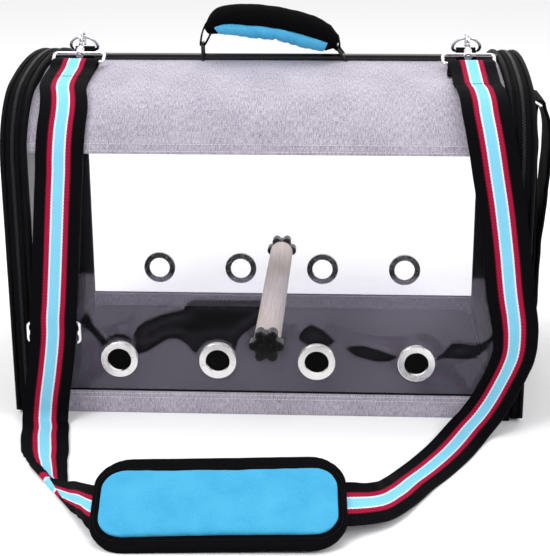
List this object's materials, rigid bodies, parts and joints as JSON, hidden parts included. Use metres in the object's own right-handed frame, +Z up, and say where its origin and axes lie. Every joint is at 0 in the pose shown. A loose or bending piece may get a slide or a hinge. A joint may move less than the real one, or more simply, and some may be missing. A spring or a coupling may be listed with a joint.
{
  "type": "soft-sided bird travel carrier",
  "caption": "Arched soft-sided bird carrier with clear windows, zipped end doors, a perch, a padded handle and a clip-on shoulder strap.",
  "frame": {"origin": "centre of the body's underside, on the ground", "axes": "+Z up, +X along the cabin to the right door, -Y towards the front window"},
  "size_m": [0.449, 0.5038, 0.3245],
  "materials": {
    "grey_fabric": "woven heather polyester",
    "clear_film": "clear flexible vinyl film",
    "black_fabric": "black woven binding",
    "black_mesh": "black knitted mesh",
    "zip_coil": "black nylon coil on woven tape",
    "piping": "black corded piping",
    "black_tube": "glossy black sleeve",
    "spring_steel": "bare wire",
    "chrome": "polished plating",
    "nickel": "satin nickel",
    "black_wire": "gloss black coated wire",
    "perch_wood": "sanded pale wood",
    "knob_plastic": "moulded",
    "floor_board": "rigid sheet",
    "floor_mat": "felted mat",
    "strap_webbing": "striped woven webbing",
    "blue_padding": "padded smooth fabric",
    "core_webbing": "black webbing"
  },
  "bodies": {
    "carrier": {"back_eyelet_washers": "nickel", "back_eyelets": "nickel", "back_hem": "grey_fabric", "back_top_panel": "grey_fabric", "back_window": "clear_film", "base_board": "floor_board", "bottom_panel": "black_fabric", "crest_tube": "black_tube", "floor_mat": "floor_mat", "frame_hoops": "spring_steel", "front_eyelet_washers": "nickel", "front_eyelets": "nickel", "front_hem": "grey_fabric", "front_top_panel": "grey_fabric", "front_window": "clear_film", "left_band": "black_fabric", "left_inner_piping": "piping", "left_strap_eye": "chrome", "left_zip_body_side": "zip_coil", "pad_base": "black_fabric", "pad_cushion": "blue_padding", "perch_dowel": "perch_wood", "perch_studs": "nickel", "perch_washers": "nickel", "right_band": "black_fabric", "right_inner_piping": "piping", "right_strap_eye": "chrome", "right_zip_body_side": "zip_coil", "shoulder_strap": "strap_webbing", "strap_ring_tabs": "black_fabric", "tri_glide": "chrome"},
    "left_door": {"left_door_rim": "black_fabric", "left_door_panel": "black_fabric", "left_door_mesh": "black_mesh", "left_outer_piping": "piping", "left_zip_door_side": "zip_coil"},
    "left_ring": {"left_strap_ring": "chrome"},
    "left_snap_hook": {"left_hook": "chrome"},
    "left_gate": {"left_hook_gate": "chrome"},
    "left_slider": {"left_zip_slider": "nickel"},
    "left_pull": {"left_zip_pull": "nickel"},
    "right_door": {"right_door_rim": "black_fabric", "right_door_panel": "black_fabric", "right_door_mesh": "black_mesh", "right_outer_piping": "piping", "right_zip_door_side": "zip_coil", "belt_strap": "black_fabric", "belt_tab": "black_fabric", "belt_ring": "chrome"},
    "right_ring": {"right_strap_ring": "chrome"},
    "right_snap_hook": {"right_hook": "chrome"},
    "right_gate": {"right_hook_gate": "chrome"},
    "right_slider": {"right_zip_slider": "nickel"},
    "right_pull": {"right_zip_pull": "nickel"},
    "handle": {"handle_core": "core_webbing", "handle_cover": "black_fabric", "handle_grip": "blue_padding", "handle_rings": "black_wire"},
    "front_knob": {"front_knob": "knob_plastic"},
    "back_knob": {"back_knob": "knob_plastic"}
  },
  "joints": [
    {"name": "left_door_hinge", "type": "hinge", "parent": "carrier", "child": "left_door", "pos_m": [-0.211, 0, 0.002], "axis": [0, -1, 0], "range_deg": [0, 90]},
    {"name": "left_ring_swing", "type": "hinge", "parent": "carrier", "child": "left_ring", "pos_m": [-0.164, 0.003, 0.2845], "axis": [1, 0, 0], "range_deg": [-4, 4]},
    {"name": "left_hook_swivel", "type": "hinge", "parent": "carrier", "child": "left_snap_hook", "pos_m": [-0.164, -0.033, 0.27891], "axis": [0, 0.8636, 0.5042], "range_deg": [-15, 15]},
    {"name": "left_gate_pivot", "type": "hinge", "parent": "left_snap_hook", "child": "left_gate", "pos_m": [-0.164, -0.01053, 0.28591], "axis": [1, 0, 0], "range_deg": [0, 20], "stiffness_Nm_per_rad": 0.002, "springref_deg": -5.73},
    {"name": "left_slider_run", "type": "slide", "parent": "carrier", "child": "left_slider", "axis": [0, 0, 1], "range_m": [0, 0.165]},
    {"name": "left_pull_swing", "type": "hinge", "parent": "left_slider", "child": "left_pull", "pos_m": [-0.20065, 0.1354, 0.039], "axis": [1, 0, 0], "range_deg": [0, 150]},
    {"name": "right_door_hinge", "type": "hinge", "parent": "carrier", "child": "right_door", "pos_m": [0.211, 0, 0.002], "axis": [0, 1, 0], "range_deg": [0, 85]},
    {"name": "right_ring_swing", "type": "hinge", "parent": "carrier", "child": "right_ring", "pos_m": [0.164, 0.003, 0.2845], "axis": [1, 0, 0], "range_deg": [-4, 4]},
    {"name": "right_hook_swivel", "type": "hinge", "parent": "carrier", "child": "right_snap_hook", "pos_m": [0.164, -0.033, 0.27891], "axis": [0, 0.8636, 0.5042], "range_deg": [-15, 15]},
    {"name": "right_gate_pivot", "type": "hinge", "parent": "right_snap_hook", "child": "right_gate", "pos_m": [0.164, -0.01053, 0.28591], "axis": [1, 0, 0], "range_deg": [0, 20], "stiffness_Nm_per_rad": 0.002, "springref_deg": -5.73},
    {"name": "right_slider_run", "type": "slide", "parent": "carrier", "child": "right_slider", "axis": [0, 0, 1], "range_m": [0, 0.165]},
    {"name": "right_pull_swing", "type": "hinge", "parent": "right_slider", "child": "right_pull", "pos_m": [0.20065, 0.1354, 0.039], "axis": [1, 0, 0], "range_deg": [0, 150]},
    {"name": "handle_swing", "type": "hinge", "parent": "carrier", "child": "handle", "pos_m": [0, 0, 0.2788], "axis": [1, 0, 0], "range_deg": [-52, 32]},
    {"name": "front_knob_turn", "type": "hinge", "parent": "carrier", "child": "front_knob", "pos_m": [0, -0.134, 0.0655], "axis": [0, -1, 0], "continuous": true},
    {"name": "back_knob_turn", "type": "hinge", "parent": "carrier", "child": "back_knob", "pos_m": [0, 0.134, 0.0655], "axis": [0, 1, 0], "continuous": true}
  ]
}
